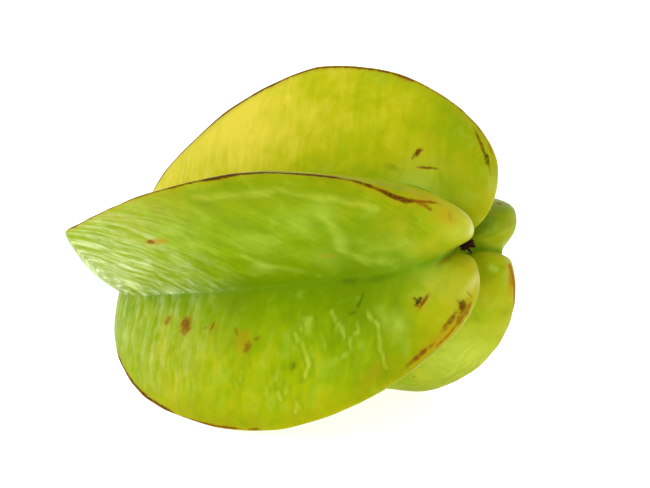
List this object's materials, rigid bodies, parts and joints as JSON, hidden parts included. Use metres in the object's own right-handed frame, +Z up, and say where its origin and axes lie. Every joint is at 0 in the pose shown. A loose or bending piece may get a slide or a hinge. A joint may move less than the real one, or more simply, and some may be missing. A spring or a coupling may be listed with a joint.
{
  "type": "star fruit",
  "caption": "Whole star fruit with deep rounded ribs and waxy skin, lying on two ribs with its stem end raised and a dried stalk in the hollow there",
  "frame": {"origin": "on the table, under the middle of the fruit's bounding box", "axes": "+X runs along the fruit towards the stem end, +Z is up, and -Y is the side with the rib that faces the viewer"},
  "size_m": [0.0958, 0.0764, 0.0703],
  "materials": {
    "skin": "waxy green to yellow fruit skin, soft gloss",
    "dried_stalk": "dry, dark brown, shrivelled, matte"
  },
  "bodies": {
    "root": {"fruit": "skin", "stalk": "dried_stalk"}
  },
  "joints": []
}
